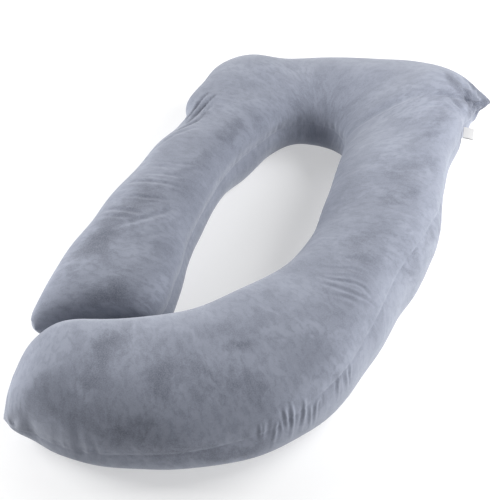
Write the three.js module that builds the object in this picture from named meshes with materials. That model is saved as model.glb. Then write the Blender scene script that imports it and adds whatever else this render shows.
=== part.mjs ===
import * as THREE from "three";

// A long filled body pillow, bent into a U whose right leg curls across in front of the left
// one. Millimetres, +Z up. It lies flat on Z = 0 with the head end towards +Y, and the origin
// is on the floor under the middle of its footprint.

// Driving sizes
const CROWN = 200; // height of a full leg
const SIDE = 98; // height of the widest line above the floor
const TUCK = 8; // how far the side seam is drawn in
const FOOTPRINT_MIDDLE = { x: 54.3, y: 15.4 }; // of the table below, moved so that it is the origin

// The sections across the pillow, from the end of the left leg, up over the head end and
// down the right leg to the end of the curl. Each row gives the widest line inside and
// outside in plan, how high the filling stands, the height of the widest line outside, how
// many degrees above it the outer seam runs, how far that seam is drawn in, and the share by
// which a corner thins out towards it.
const SECTIONS = [
  { inX: -104, inY: -398, outX: -326, outY: -464, crown: 168, side: 84, lift: 0, tuck: 2, pinch: 0.3 },
  { inX: -78, inY: -374, outX: -343, outY: -448, crown: 180, side: 88, lift: 0, tuck: 4, pinch: 0.25 },
  { inX: -66, inY: -336, outX: -348, outY: -402, crown: 188, side: 94, lift: 0, tuck: 6, pinch: 0.05 },
  { inX: -70, inY: -285, outX: -352, outY: -335, crown: 192, side: SIDE, lift: 0, tuck: 8, pinch: 0 },
  { inX: -84, inY: -225, outX: -352, outY: -265, crown: 195, side: SIDE, lift: 0, tuck: TUCK, pinch: 0 },
  { inX: -98, inY: -150, outX: -349, outY: -180, crown: 196, side: SIDE, lift: 0, tuck: TUCK, pinch: 0 },
  { inX: -106, inY: -60, outX: -343, outY: -80, crown: 196, side: SIDE, lift: 0, tuck: TUCK, pinch: 0 },
  { inX: -108, inY: 40, outX: -329, outY: 30, crown: 194, side: SIDE, lift: 0, tuck: TUCK, pinch: 0 },
  { inX: -102, inY: 135, outX: -313, outY: 135, crown: 192, side: SIDE, lift: 0, tuck: TUCK, pinch: 0 },
  { inX: -86, inY: 222, outX: -297, outY: 222, crown: 188, side: SIDE, lift: 0, tuck: TUCK, pinch: 0 },
  { inX: -68, inY: 290, outX: -293, outY: 286, crown: 184, side: SIDE, lift: 0, tuck: TUCK, pinch: 0 },
  { inX: -52, inY: 336, outX: -310, outY: 345, crown: 188, side: SIDE, lift: 0, tuck: TUCK, pinch: 0 },
  { inX: -31, inY: 368, outX: -310, outY: 440, crown: 194, side: SIDE, lift: 0, tuck: TUCK, pinch: 0 },
  { inX: -8, inY: 387, outX: -297, outY: 530, crown: 196, side: SIDE, lift: 0, tuck: TUCK, pinch: 0 },
  { inX: 16, inY: 397, outX: -232, outY: 598, crown: 194, side: SIDE, lift: 0, tuck: TUCK, pinch: 0 },
  { inX: 40, inY: 400, outX: -118, outY: 634, crown: 194, side: SIDE, lift: 0, tuck: TUCK, pinch: 0 },
  { inX: 64, inY: 398, outX: 10, outY: 670, crown: 198, side: SIDE, lift: 0, tuck: TUCK, pinch: 0 },
  { inX: 84, inY: 392, outX: 130, outY: 715, crown: 202, side: SIDE, lift: 0, tuck: TUCK, pinch: 0 },
  { inX: 101, inY: 382, outX: 232, outY: 733, crown: 202, side: SIDE, lift: 0, tuck: TUCK, pinch: 0 },
  { inX: 114, inY: 370, outX: 318, outY: 736, crown: 201, side: SIDE, lift: 0, tuck: 8, pinch: 0.12 },
  { inX: 123, inY: 358, outX: 384, outY: 727, crown: 199, side: SIDE, lift: 0, tuck: 6, pinch: 0.46 },
  { inX: 129, inY: 347, outX: 430, outY: 704, crown: 197, side: 97, lift: 0, tuck: 3, pinch: 0.84 },
  { inX: 133, inY: 337, outX: 459, outY: 681, crown: 196, side: 94, lift: 0, tuck: 1, pinch: 0.97 },
  { inX: 136, inY: 327, outX: 442, outY: 652, crown: 196, side: 92, lift: 0, tuck: 2, pinch: 0.88 },
  { inX: 139, inY: 316, outX: 431, outY: 620, crown: 196, side: 93, lift: 0, tuck: 4, pinch: 0.5 },
  { inX: 142, inY: 302, outX: 424, outY: 582, crown: 196, side: 95, lift: 0, tuck: 6, pinch: 0.28 },
  { inX: 145, inY: 282, outX: 414, outY: 547, crown: 197, side: 96, lift: 0, tuck: 6, pinch: 0.12 },
  { inX: 148, inY: 255, outX: 419, outY: 494, crown: 198, side: 97, lift: 0, tuck: 4, pinch: 0 },
  { inX: 150, inY: 220, outX: 405, outY: 394, crown: 199, side: 94, lift: 2, tuck: 4, pinch: 0 },
  { inX: 151, inY: 175, outX: 408, outY: 298, crown: CROWN, side: 88, lift: 6, tuck: 4, pinch: 0 },
  { inX: 152, inY: 115, outX: 417, outY: 199, crown: CROWN, side: 80, lift: 15, tuck: 4, pinch: 0 },
  { inX: 154, inY: 45, outX: 429, outY: 95, crown: CROWN, side: 72, lift: 28, tuck: 4, pinch: 0 },
  { inX: 153, inY: -25, outX: 430, outY: -1, crown: CROWN, side: 66, lift: 37, tuck: 4, pinch: 0 },
  { inX: 146, inY: -90, outX: 415, outY: -93, crown: CROWN, side: 64, lift: 37, tuck: 4, pinch: 0 },
  { inX: 130, inY: -148, outX: 400, outY: -186, crown: CROWN, side: 66, lift: 33, tuck: 4, pinch: 0 },
  { inX: 105, inY: -200, outX: 384, outY: -283, crown: CROWN, side: 70, lift: 28, tuck: 4, pinch: 0 },
  { inX: 72, inY: -248, outX: 358, outY: -381, crown: CROWN, side: 74, lift: 25, tuck: 4, pinch: 0 },
  { inX: 33, inY: -291, outX: 315, outY: -474, crown: CROWN, side: 77, lift: 20, tuck: 4, pinch: 0 },
  { inX: -10, inY: -330, outX: 249, outY: -559, crown: CROWN, side: 80, lift: 13, tuck: 4, pinch: 0 },
  { inX: -54, inY: -362, outX: 170, outY: -622, crown: CROWN, side: 82, lift: 8, tuck: 4, pinch: 0 },
  { inX: -98, inY: -388, outX: 85, outY: -666, crown: CROWN, side: 82, lift: 6, tuck: 4, pinch: 0 },
  { inX: -140, inY: -408, outX: 1, outY: -690, crown: CROWN, side: 80, lift: 3, tuck: 4, pinch: 0 },
  { inX: -180, inY: -424, outX: -79, outY: -703, crown: 198, side: 76, lift: 0, tuck: 4, pinch: 0 },
  { inX: -217, inY: -442, outX: -149, outY: -703, crown: 196, side: 69, lift: 0, tuck: 4, pinch: 0 },
  { inX: -250, inY: -465, outX: -205, outY: -695, crown: 192, side: 61, lift: 0, tuck: 4, pinch: 0 },
  { inX: -280, inY: -495, outX: -252, outY: -686, crown: 184, side: 53, lift: 0, tuck: 2, pinch: 0.1 },
  { inX: -302, inY: -532, outX: -284, outY: -670, crown: 176, side: 47, lift: 0, tuck: 1, pinch: 0.15 },
];

// How full the filling is: 2 is an ellipse, and more is squarer.
const TOP_FULLNESS = 2.35;
const BELLY_FULLNESS = 2.6;
const BELLY_SPREAD = 0.14; // share by which the belly would pass the floor, so that it lies flat
const TUCK_HEIGHT = 26; // how far above and below the seam its groove fades
const SEAM_THICKNESS = 3; // where the two layers close at each end
const LEFT_END_SECTIONS = 2.6; // the table rows over which each end rounds down
const CURL_END_SECTIONS = 3.2;

// The main creases: the tucks outside the left bend, the folds and the rolled edge of the pinched
// corner, the arcs in the bend of the right leg, the puckers along the seam of the curl and the
// creases of its end. Each runs from one place to another, a place being a section of the table
// and an angle round it. A depth below zero is a ridge.
const FOLDS = [
  { section: 8.8, angle: 57, toSection: 10.9, toAngle: 68, depth: 5, width: 9 },
  { section: 9.1, angle: 50, toSection: 11.4, toAngle: 43, depth: 5, width: 10 },
  { section: 8.7, angle: 66, toSection: 10.5, toAngle: 75, depth: 4, width: 9 },
  { section: 20.5, angle: 61, toSection: 22.5, toAngle: 58, depth: 5, width: 10 },
  { section: 22.5, angle: 58, toSection: 23.8, toAngle: 26, depth: 4, width: 10 },
  { section: 20.7, angle: 41, toSection: 22.9, toAngle: 42, depth: -3, width: 8 },
  { section: 22, angle: 79, toSection: 25.1, toAngle: 57, depth: -3, width: 10 },
  { section: 23, angle: 76, toSection: 25.9, toAngle: 44, depth: 4, width: 10 },
  { section: 21.7, angle: -20, toSection: 23.3, toAngle: -16, depth: -5, width: 8 },
  { section: 34.75, angle: 91, toSection: 34.4, toAngle: 22, depth: 4, width: 9 },
  { section: 34.1, angle: 92, toSection: 33.85, toAngle: 50, depth: 3, width: 9 },
  { section: 36.45, angle: -6, toSection: 36.35, toAngle: 8, depth: 4, width: 9 },
  { section: 36.85, angle: -6, toSection: 36.7, toAngle: 10, depth: 5, width: 9 },
  { section: 37.15, angle: -6, toSection: 37.1, toAngle: 9, depth: 5, width: 9 },
  { section: 37.45, angle: -6, toSection: 37.4, toAngle: 12, depth: 6, width: 9 },
  { section: 37.75, angle: -6, toSection: 37.7, toAngle: 14, depth: 6, width: 9 },
  { section: 38.05, angle: -6, toSection: 38, toAngle: 12, depth: 6, width: 9 },
  { section: 38.35, angle: -4, toSection: 38.3, toAngle: 10, depth: 5, width: 9 },
  { section: 38.7, angle: -2, toSection: 38.6, toAngle: 8, depth: 4, width: 9 },
  { section: 41.8, angle: 0, toSection: 41.8, toAngle: 22, depth: 3, width: 12 },
  { section: 42.2, angle: 0, toSection: 42.25, toAngle: 36, depth: 3, width: 12 },
  { section: 42.9, angle: 0, toSection: 42.8, toAngle: 22, depth: 3, width: 12 },
  { section: 44.1, angle: 2, toSection: 44.1, toAngle: 25, depth: 4, width: 10 },
];

// How finely the surface is cut: the step between rings, finer where the cloth is gathered
const RING_STEP = 30;
const WALK_SAMPLES = 4000;
const GATHERED = [
  { from: 8.4, to: 11.6, step: 12 },
  { from: 19.5, to: 26.4, step: 13 },
  { from: 33.6, to: 35.2, step: 11 },
  { from: 36.3, to: 39, step: 8 },
];
const END_RINGS = 7;
const TOP_ANGLES = [0, 6, 13, 22, 32, 43, 55, 67, 79, 91, 106, 122, 138, 155, 170];
const BELLY_ANGLES = [180, 190, 205, 225, 250, 290, 315, 332, 344, 353];

// The blank care label, folded once and sewn in by its open end
const LABEL = { from: 26.05, to: 26.95, reach: 27, layer: 1, gap: 0.7, droop: 3, clearance: 1.7 };

const PLUSH = { color: 0x8b90a0, roughness: 0.95, metalness: 0 };
const SATIN = { color: 0xf2f1ee, roughness: 0.6, metalness: 0 };

const clamp01 = (value) => Math.min(1, Math.max(0, value));
const mix = (a, b, share) => a + (b - a) * share;

/** A smooth curve through one point of every section. */
function tableCurve(pick) {
  const points = SECTIONS.map((row) => new THREE.Vector3(...pick(row)));
  return new THREE.CatmullRomCurve3(points, false, "catmullrom", 0.5);
}

const moved = (x, y) => [x - FOOTPRINT_MIDDLE.x, y - FOOTPRINT_MIDDLE.y];
const innerLine = tableCurve((row) => [...moved(row.inX, row.inY), SIDE]);
const outerLine = tableCurve((row) => [...moved(row.outX, row.outY), row.side]);
const filling = tableCurve((row) => [row.crown, row.pinch, 0]);
const seamLine = tableCurve((row) => [row.lift, row.tuck, 0]);
const LAST = SECTIONS.length - 1;

/** How full the pillow is at a section: 1 along it, and 0 at its two ends. */
function fill(section) {
  const left = 1 - clamp01(section / LEFT_END_SECTIONS);
  const curl = 1 - clamp01((LAST - section) / CURL_END_SECTIONS);
  return Math.sqrt(1 - Math.max(left, curl) ** 2);
}

/** The wall of a section before its seam is drawn in, at an angle up from its widest line. */
function wall(section, angle) {
  const share = clamp01(section / LAST);
  const { x: crown, y: pinch } = filling.getPoint(share);
  const above = Math.sin(angle) >= 0;
  const power = 2 / (above ? TOP_FULLNESS : BELLY_FULLNESS);
  const across = Math.sign(Math.cos(angle)) * Math.abs(Math.cos(angle)) ** power;
  const up = Math.abs(Math.sin(angle)) ** power;
  const point = innerLine.getPoint(share).lerp(outerLine.getPoint(share), (1 + across) / 2);
  const thinned = 1 - pinch * clamp01(across) ** 2;
  const full = Math.max(fill(section), SEAM_THICKNESS / CROWN) * thinned;
  const rise = (above ? crown - point.z : -point.z * (1 + BELLY_SPREAD)) * up * full;
  return { point, across, full, rise };
}

/** A point of the smooth surface. The angle runs from the outer seam over the top to the
 * inner seam and back under the belly. */
function smoothPoint(section, degrees) {
  const share = clamp01(section / LAST);
  const { x: lift, y: outerTuck } = seamLine.getPoint(share);
  const outside = Math.max(0, Math.cos(THREE.MathUtils.degToRad(degrees)));
  const here = wall(section, THREE.MathUtils.degToRad(degrees + lift * outside));
  const seam = wall(section, THREE.MathUtils.degToRad(outside > 0 ? lift : 180));
  const away = (here.rise - seam.rise) / TUCK_HEIGHT;
  const drawnIn = (outside > 0 ? outerTuck : TUCK) * here.full * Math.exp(-(away ** 2));
  const inward = innerLine.getPoint(share).sub(outerLine.getPoint(share)).setZ(0).normalize();
  const point = here.point.addScaledVector(inward, here.across * drawnIn);
  point.z = Math.max(0, point.z + here.rise);
  return point;
}

/** How far the nearest point of a polyline is. */
function distanceTo(line, point) {
  const nearest = new THREE.Vector3();
  const distances = line.slice(1).map((end, index) => {
    new THREE.Line3(line[index], end).closestPointToPoint(point, true, nearest);
    return nearest.distanceTo(point);
  });
  return Math.min(...distances);
}

/** Each fold with its own line laid on the smooth surface. */
const foldLines = FOLDS.map((fold) => {
  const line = [0, 0.25, 0.5, 0.75, 1].map((share) =>
    smoothPoint(mix(fold.section, fold.toSection, share), mix(fold.angle, fold.toAngle, share)),
  );
  return { ...fold, line };
});

/** A point of the creased surface: the smooth one, pushed in or out where a fold is near. */
function surfacePoint(section, degrees) {
  const point = smoothPoint(section, degrees);
  if (point.z === 0) return point;
  const depth = foldLines.reduce((sum, fold) => {
    const away = distanceTo(fold.line, point) / fold.width;
    return sum + fold.depth * Math.exp(-(away ** 2));
  }, 0);
  const along = smoothPoint(section + 0.05, degrees).sub(smoothPoint(section - 0.05, degrees));
  const around = smoothPoint(section, degrees + 1).sub(smoothPoint(section, degrees - 1));
  const inward = along.cross(around).normalize();
  point.addScaledVector(inward, -depth);
  point.z = Math.max(0, point.z);
  return point;
}

/** Where the rings are: even steps along the pillow, closer in its gathers and at its ends. */
function ringSections() {
  const quarter = (ring) => 1 - Math.cos((ring / END_RINGS) * (Math.PI / 2));
  const ends = Array.from({ length: END_RINGS }, (_, ring) => quarter(ring));
  const start = LEFT_END_SECTIONS;
  const stop = LAST - CURL_END_SECTIONS;
  const sections = ends.map((share) => share * LEFT_END_SECTIONS);
  let before = outerLine.getPoint(start / LAST);
  let walked = RING_STEP;
  for (let sample = 0; sample <= WALK_SAMPLES; sample++) {
    const section = mix(start, stop, sample / WALK_SAMPLES);
    const gather = GATHERED.find(({ from, to }) => section >= from && section <= to);
    const here = outerLine.getPoint(section / LAST);
    walked += here.distanceTo(before);
    before = here;
    if (walked >= (gather ? gather.step : RING_STEP)) {
      sections.push(section);
      walked = 0;
    }
  }
  sections.push(...ends.map((share) => LAST - share * CURL_END_SECTIONS).reverse());
  return sections;
}

/** The filled pillow: rings of points, joined side to side and closed by a fan at each end. */
function pillowGeometry() {
  const angles = [...TOP_ANGLES, ...BELLY_ANGLES];
  const count = angles.length;
  const rings = ringSections().map((at) => angles.map((angle) => surfacePoint(at, angle)));
  const vertices = rings.flat();
  const faces = [];
  const corner = (ring, spoke) => ring * count + (spoke % count);
  for (let ring = 0; ring + 1 < rings.length; ring++) {
    for (let spoke = 0; spoke < count; spoke++) {
      const [a, b] = [corner(ring, spoke), corner(ring, spoke + 1)];
      const [c, d] = [corner(ring + 1, spoke), corner(ring + 1, spoke + 1)];
      faces.push(a, b, d, a, d, c);
    }
  }
  const closeEnd = (ring, facesOut) => {
    const hub = vertices.length;
    const rim = rings[ring];
    vertices.push(rim.reduce((sum, p) => sum.add(p), new THREE.Vector3()).divideScalar(count));
    for (let spoke = 0; spoke < count; spoke++) {
      const [a, b] = [corner(ring, spoke), corner(ring, spoke + 1)];
      faces.push(...(facesOut ? [hub, a, b] : [hub, b, a]));
    }
  };
  closeEnd(0, false);
  closeEnd(rings.length - 1, true);
  const geometry = new THREE.BufferGeometry().setFromPoints(vertices);
  geometry.setIndex(faces);
  geometry.computeVertexNormals();
  return geometry;
}

function namedMesh(name, geometry, finish) {
  const mesh = new THREE.Mesh(geometry, new THREE.MeshStandardMaterial(finish));
  mesh.name = name;
  return mesh;
}

/** The label: a hairpin of one strip, whose two ends are at the seam, drooping a little. */
function careLabel() {
  const { reach, layer, gap, droop } = LABEL;
  const half = layer + gap / 2;
  const bend = reach - half;
  const hairpin = new THREE.Shape();
  hairpin.moveTo(0, half);
  hairpin.quadraticCurveTo(bend / 2, half, bend, half - droop);
  hairpin.absarc(bend, -droop, half, Math.PI / 2, -Math.PI / 2, true);
  hairpin.quadraticCurveTo(bend / 2, -half, 0, -half);
  hairpin.lineTo(0, -gap / 2);
  hairpin.quadraticCurveTo(bend / 2, -gap / 2, bend, -gap / 2 - droop);
  hairpin.absarc(bend, -droop, gap / 2, -Math.PI / 2, Math.PI / 2, false);
  hairpin.quadraticCurveTo(bend / 2, gap / 2, 0, gap / 2);
  const rear = surfacePoint(LABEL.from, 0);
  const front = surfacePoint(LABEL.to, 0);
  const depth = rear.distanceTo(front);
  const geometry = new THREE.ExtrudeGeometry(hairpin, { depth, bevelEnabled: false, curveSegments: 5 });
  const label = namedMesh("care_label", geometry, SATIN);
  const alongSeam = front.clone().sub(rear).normalize();
  const outward = new THREE.Vector3(-alongSeam.y, alongSeam.x, 0).normalize();
  const upward = alongSeam.clone().cross(outward);
  label.matrixAutoUpdate = false;
  label.matrix.makeBasis(outward, upward, alongSeam);
  label.matrix.setPosition(rear.addScaledVector(outward, LABEL.clearance));
  return label;
}

const pillow = new THREE.Group();
pillow.add(namedMesh("pillow", pillowGeometry(), PLUSH));
pillow.add(careLabel());

export default pillow;
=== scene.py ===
"""A long plush body pillow, bent into a U whose one leg curls across in front of the other.

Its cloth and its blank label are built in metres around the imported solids.
"""

import logging
import math
from dataclasses import dataclass, field
from enum import Enum

import bpy
import numpy as np
from mathutils import Matrix, Vector


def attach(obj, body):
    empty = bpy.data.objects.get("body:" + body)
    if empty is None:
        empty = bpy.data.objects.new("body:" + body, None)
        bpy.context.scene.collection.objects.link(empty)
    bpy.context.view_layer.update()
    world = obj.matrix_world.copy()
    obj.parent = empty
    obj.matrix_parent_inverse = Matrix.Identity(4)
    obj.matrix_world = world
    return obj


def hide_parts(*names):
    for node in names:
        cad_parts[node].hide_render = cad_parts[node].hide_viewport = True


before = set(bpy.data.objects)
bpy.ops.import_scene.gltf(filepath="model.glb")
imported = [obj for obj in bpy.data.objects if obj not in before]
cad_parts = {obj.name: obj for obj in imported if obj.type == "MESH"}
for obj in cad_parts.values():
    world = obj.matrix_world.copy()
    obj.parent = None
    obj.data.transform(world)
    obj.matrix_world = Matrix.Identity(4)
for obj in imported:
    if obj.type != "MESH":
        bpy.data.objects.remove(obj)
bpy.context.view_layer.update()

log = logging.getLogger("pillow")
MM = 0.001


@dataclass(frozen=True)
class Section:
    """One section across the pillow, in millimetres.

    The widest line inside and outside in plan, the height of the filling, the height of the
    widest line outside, how many degrees above it the outer seam runs, how far that seam is
    drawn in, and the share by which a corner thins out.
    """

    in_x: float
    in_y: float
    out_x: float
    out_y: float
    crown: float
    side: float
    lift: float
    tuck: float
    pinch: float = 0.0


# From the end of the left leg, over the head end and down the right leg to the curl's end
SECTIONS: tuple[Section, ...] = (
    Section(-104, -398, -326, -464, 168, 84, 0, 2, 0.3),
    Section(-78, -374, -343, -448, 180, 88, 0, 4, 0.25),
    Section(-66, -336, -343, -401, 186, 94, 0, 6, 0.05),
    Section(-70, -285, -346, -334, 190, 98, 0, 8),
    Section(-84, -225, -344, -265, 192, 98, 0, 8),
    Section(-98, -150, -339, -180, 193, 98, 0, 8),
    Section(-106, -60, -333, -80, 193, 98, 0, 8),
    Section(-108, 40, -319, 30, 191, 98, 0, 8),
    Section(-102, 135, -304, 135, 189, 98, 0, 8),
    Section(-86, 222, -288, 222, 186, 98, 0, 8),
    Section(-68, 290, -288, 285, 183, 98, 0, 8),
    Section(-52, 336, -310, 345, 188, 98, 0, 8),
    Section(-31, 368, -310, 440, 188, 98, 0, 8),
    Section(-8, 387, -297, 526, 186, 98, 0, 8),
    Section(16, 397, -230, 595, 190, 98, 0, 8),
    Section(40, 400, -117, 625, 187, 98, 0, 8),
    Section(64, 398, 10, 664, 193, 98, 0, 8),
    Section(84, 392, 129, 709, 197, 98, 0, 8),
    Section(101, 382, 231, 728, 198, 98, 0, 8),
    Section(114, 370, 318, 733, 199, 98, 0, 8, 0.10),
    Section(123, 358, 389, 731, 202, 98, 0, 6, 0.38),
    Section(129, 347, 434, 709, 202, 97, 0, 3, 0.78),
    Section(133, 337, 459, 681, 196, 94, 0, 1, 0.97),
    Section(136, 327, 442, 652, 196, 92, 0, 2, 0.88),
    Section(139, 316, 431, 620, 196, 93, 0, 4, 0.5),
    Section(142, 302, 424, 582, 196, 95, 0, 6, 0.28),
    Section(145, 282, 414, 547, 197, 96, 0, 6, 0.12),
    Section(148, 255, 419, 494, 198, 97, 0, 4),
    Section(150, 220, 410, 394, 199, 94, 2, 4),
    Section(151, 175, 414, 298, 200, 88, 6, 4),
    Section(152, 115, 424, 199, 200, 80, 15, 4),
    Section(154, 45, 432, 95, 200, 72, 28, 4),
    Section(153, -25, 429, -1, 200, 66, 37, 4),
    Section(146, -90, 411, -93, 199, 64, 37, 4),
    Section(130, -148, 394, -185, 199, 66, 33, 4),
    Section(105, -200, 378, -281, 199, 70, 28, 4),
    Section(72, -248, 358, -381, 200, 74, 25, 4),
    Section(33, -291, 315, -474, 200, 77, 20, 4),
    Section(-10, -330, 249, -559, 200, 80, 13, 4),
    Section(-54, -362, 170, -622, 200, 82, 8, 4),
    Section(-98, -388, 85, -666, 200, 82, 6, 4),
    Section(-140, -408, 1, -690, 200, 80, 3, 4),
    Section(-180, -424, -79, -703, 198, 76, 0, 4),
    Section(-217, -442, -149, -703, 196, 69, 0, 4),
    Section(-250, -465, -205, -695, 192, 61, 0, 4),
    Section(-280, -498, -253, -688, 178, 53, 0, 2, 0.1),
    Section(-303, -538, -288, -671, 168, 47, 0, 1, 0.15),
)
LAST = len(SECTIONS) - 1


class Crease(Enum):
    """How deep a crease is along its length."""

    ROOTED = "deepest near its start and fading"
    FREE = "fading at both ends"


Place = tuple[float, float]


@dataclass(frozen=True)
class Fold:
    """A crease through a few places, each a section number and an angle round the section.

    Depth and width are in millimetres. A negative depth is a ridge.
    """

    places: tuple[Place, ...]
    depth: float
    width: float
    kind: Crease = Crease.FREE


ROOTED = Crease.ROOTED

# The fan of narrow creases at the tuck outside the left bend
BEND_FOLDS = (
    Fold(((9.3, 42), (10.24, 48), (11, 63)), 5.4, 4.2),
    Fold(((8.9, 55), (10, 60), (10.9, 75)), 5.4, 4.2),
    Fold(((9.48, 67), (10.6, 76)), 4, 3.6),
    Fold(((8.4, 57), (9.04, 70), (9.7, 72)), 5.5, 4),
    Fold(((9.1, 47), (10.1, 54), (10.8, 66)), -3.6, 3.4),
    Fold(((8.6, 63), (9.3, 71), (10, 78)), -3.2, 3.4),
    Fold(((7.6, 52), (8.2, 66), (8.6, 80)), 2.6, 4.4),
)
# The pinched upper right corner: folds that fan out from the ear, and its rolled edge
CORNER_FOLDS = (
    Fold(((20.64, 50), (21.8, 61), (22.92, 48), (24.3, 30)), 6.5, 5.5),
    Fold(((21.08, 45), (22.32, 50), (23.8, 24)), 5.5, 4.5),
    Fold(((20.32, 37), (21.64, 56), (23.24, 39), (24.32, 9)), -6, 5),
    Fold(((20.48, 25), (21.56, 43), (22.28, 38)), -5, 4.5),
    Fold(((21.9, 18), (22.84, 18), (24.12, 8)), -6.5, 5),
    Fold(((21.8, 31), (22.68, 35), (24.48, 21)), 5.5, 4),
    Fold(((22.24, 76), (24.72, 53), (25.64, 24)), 3.5, 6),
    Fold(((23, 78), (25.3, 60), (26.1, 38)), -2.4, 6),
    Fold(((21.2, 72), (20.44, 71), (19.9, 74)), 2.6, 5),
    Fold(((19.9, 60), (21, 54), (21.9, 40)), 2.6, 6),
    Fold(((22.2, 342), (22.8, 346), (23.4, 344)), -4, 6),
    Fold(((23.5, 348), (23.9, 347), (24.3, 348)), -6, 6),
)
# Curved creases pressed into the bend of the right leg
KNEE_FOLDS = (
    Fold(((34.64, 95), (34.44, 68), (34.28, 45), (34.36, 18)), 2, 3.6),
    Fold(((34.84, 91), (34.68, 52), (34.56, 33), (34.4, 9)), 1.8, 3.6),
    Fold(((34.2, 97), (33.96, 73), (33.88, 44)), 1.2, 3.6),
    Fold(((35.08, 80), (34.84, 50), (34.76, 29)), 1.2, 3.8),
    Fold(((34.55, 93), (34.36, 61), (34.2, 33)), -1.4, 3.2),
    Fold(((34.4, 95), (34.16, 72), (34.04, 40)), -1, 3),
    Fold(((34.75, 90), (34.56, 58), (34.44, 26)), -1.2, 3.2),
    Fold(((33.72, 95), (33.48, 66), (33.44, 35)), 1, 4.5),
    Fold(((33.5, 90), (33.3, 70), (33.26, 48)), -0.8, 3.6),
)
# The puckers of the curl's outer seam: narrow ridges, each with a soft hollow beside it
PUCKER_FOLDS = (
    Fold(((38.24, 11), (38.28, 355)), 1.1, 3.4),
    Fold(((38.18, 11), (38.22, 355)), -1.5, 2.4),
    Fold(((38.1, 10), (38.18, 354)), -1.5, 2.4),
    Fold(((38, 11), (38.08, 355)), 1.2, 3.6),
    Fold(((37.87, 5), (37.94, 354), (38.02, 346)), -2, 2.8),
    Fold(((37.82, 0), (37.88, 351)), 1, 3.2),
    Fold(((37.76, 5), (37.8, 354)), -1.5, 2.4),
    Fold(((37.71, 15), (37.73, 359)), 1.4, 3.6),
    Fold(((37.64, 13), (37.67, 355)), -1.9, 3.2),
    Fold(((37.57, 10), (37.62, 350)), 1.2, 3.6),
    Fold(((37.48, 15), (37.52, 0), (37.64, 345)), -2.4, 3.2),
    Fold(((37.38, 355), (37.5, 345)), 1.2, 3.6),
    Fold(((37.31, 2), (37.4, 350)), 1.2, 3.6),
    Fold(((37.2, 9), (37.26, 358), (37.4, 346)), -2.2, 2.8),
    Fold(((37.19, 358), (37.27, 344)), 0.9, 3.2),
    Fold(((37.12, 357), (37.22, 343)), -1.4, 2.6),
    Fold(((37.05, 358), (37.15, 344)), 1, 3.2),
    Fold(((36.9, 358), (37, 355), (37.1, 343)), -1.7, 2.8),
    Fold(((36.88, 357), (36.98, 351)), 0.9, 3),
    Fold(((36.78, 359), (36.88, 351)), 0.9, 3.2),
    Fold(((36.38, 1), (36.5, 350)), 0.9, 3.4),
    Fold(((36.28, 1), (36.44, 345)), -1.5, 3),
    Fold(((36.14, 1), (36.24, 347)), 1.2, 3.8),
    Fold(((36.06, 355), (36.14, 344)), -1.4, 2.8),
    Fold(((35.96, 1), (36.08, 348)), 1, 3.2),
    Fold(((35.88, 359), (36, 349)), -1.4, 2.8),
)
# Long shallow creases at the curl's end
END_FOLDS = (
    Fold(((41.76, 358), (41.84, 24)), 3, 8, ROOTED),
    Fold(((42.16, 355), (42.24, 38)), 3.6, 8, ROOTED),
    Fold(((42.88, 358), (42.8, 26)), 4, 8, ROOTED),
    Fold(((43.4, 0), (43.36, 18)), 3, 7, ROOTED),
    Fold(((43.88, 358), (43.84, 16)), 3.5, 7, ROOTED),
    Fold(((44.12, 1), (44.04, 28)), 4.6, 8, ROOTED),
    Fold(((45.12, 4), (44.9, 14), (44.56, 29)), 4.4, 8, ROOTED),
    Fold(((45.44, 40), (45.4, 60)), 2.6, 6),
    Fold(((45.5, 68), (45.3, 84)), 2.6, 6),
)
# Fine bowed wrinkles over the left leg
LEG_WRINKLES = (
    Fold(((6.12, 62), (6.2, 88), (6.32, 121)), 2, 5),
    Fold(((5.16, 52), (5.12, 75), (5.04, 104)), 2, 5),
    Fold(((4.44, 80), (4.76, 93), (5.16, 112), (5.72, 126)), 2.4, 6),
    Fold(((6.76, 72), (6.84, 100)), 1.8, 5),
    Fold(((5.6, 70), (5.62, 92), (5.8, 116)), 1.6, 4.5),
    Fold(((6.45, 70), (6.52, 94), (6.7, 118)), 1.4, 4.5),
    Fold(((4.9, 60), (4.84, 84), (4.9, 100)), 1.4, 4.5),
)


@dataclass(frozen=True)
class NapAndPaintedShadingPatch:
    """A patch along a few places that looks darker than the cloth round it: crushed nap in some, painted
    shade in others.

    The reach is in millimetres. A share below zero looks lighter: nap brushed up in some, painted light
    in others.
    """

    places: tuple[Place, ...]
    reach: float
    share: float


# Patches of crushed and brushed-up nap, and of painted shade and painted light
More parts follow.
